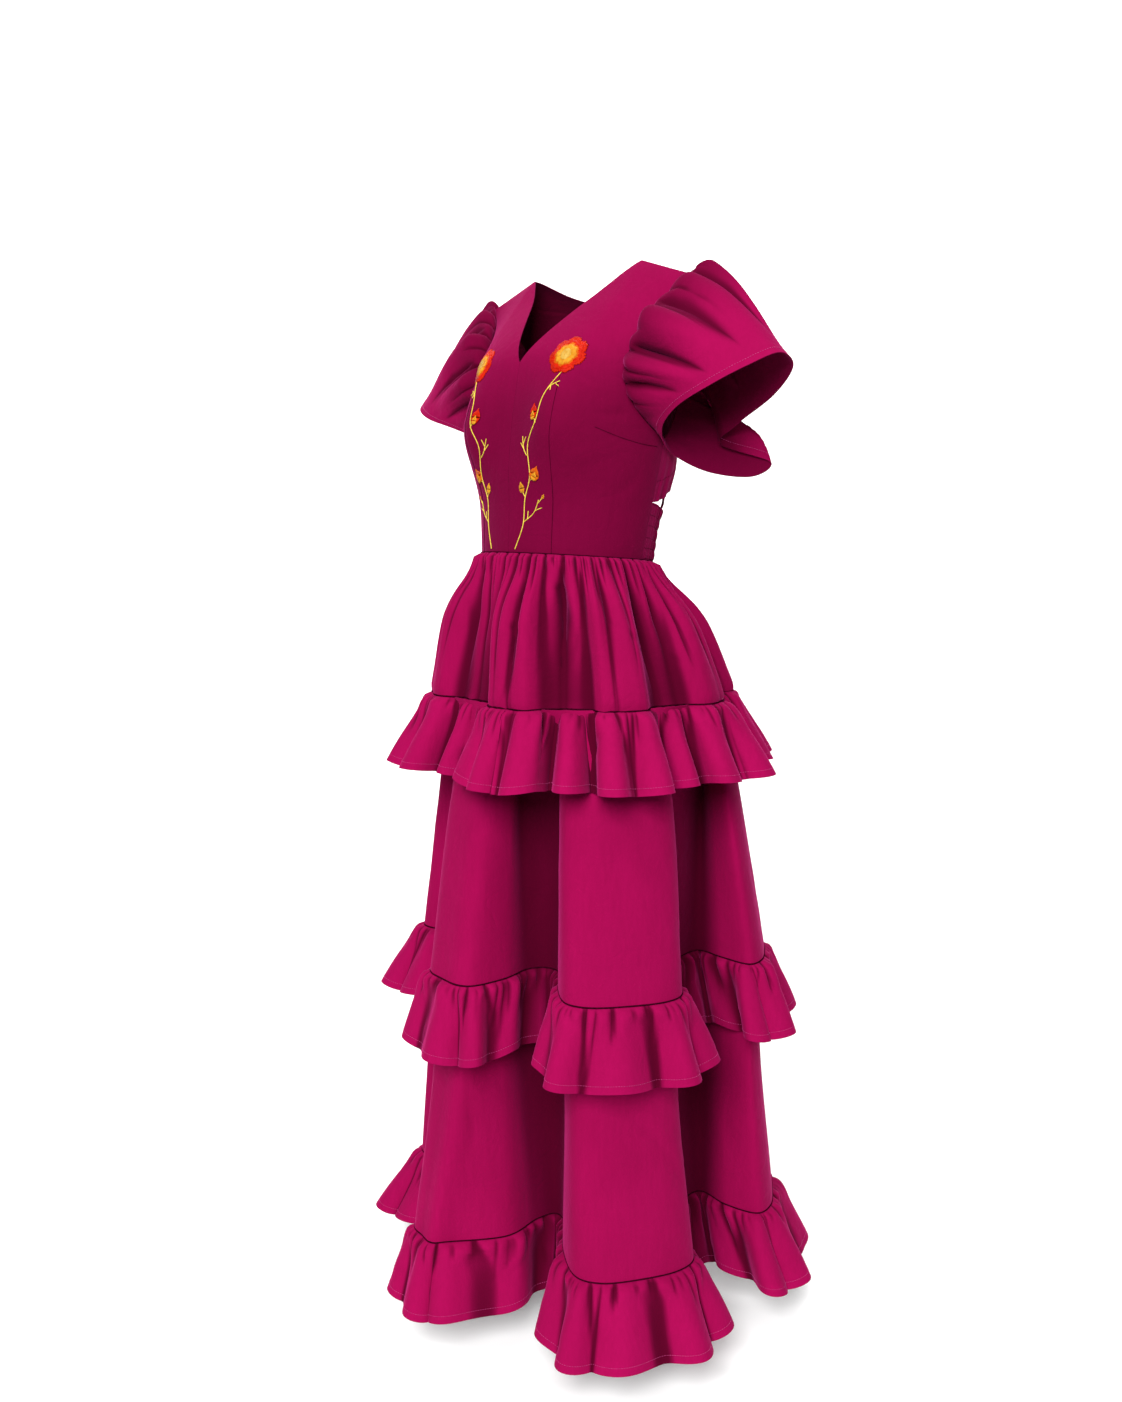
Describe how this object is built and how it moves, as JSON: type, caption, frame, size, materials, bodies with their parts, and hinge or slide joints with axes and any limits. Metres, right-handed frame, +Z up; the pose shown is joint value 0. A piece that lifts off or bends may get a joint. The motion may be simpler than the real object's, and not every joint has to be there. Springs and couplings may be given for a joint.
{
  "type": "velvet dress",
  "caption": "Full-length velvet dress with a V neck, flutter sleeves, embroidered bodice, tied open back and a tiered skirt of gathered ruffles.",
  "frame": {"origin": "midway between the two shoulder seams, on their plane, where the wearer's shoulders hold the dress", "axes": "+Z up, the front faces -Y, the wearer's left is +X"},
  "size_m": [0.6714, 0.6393, 1.4137],
  "materials": {
    "velvet": "soft short nap",
    "velvet_trim": "soft short nap",
    "cord": "matt twisted cord"
  },
  "bodies": {
    "root": {"bodice_front_left": "velvet", "bodice_front_right": "velvet", "back_upper_left": "velvet_trim", "back_upper_right": "velvet_trim", "back_waist_panel": "velvet_trim", "sleeve_left": "velvet", "sleeve_right": "velvet", "skirt_tier_1": "velvet", "ruffle_1": "velvet_trim", "skirt_tier_2": "velvet", "ruffle_2": "velvet_trim", "skirt_tier_3": "velvet", "ruffle_3": "velvet_trim", "tie_knot": "cord", "tie_loop_left": "cord", "tie_loop_right": "cord", "tie_tail_left": "cord", "tie_tail_right": "cord"}
  },
  "joints": []
}
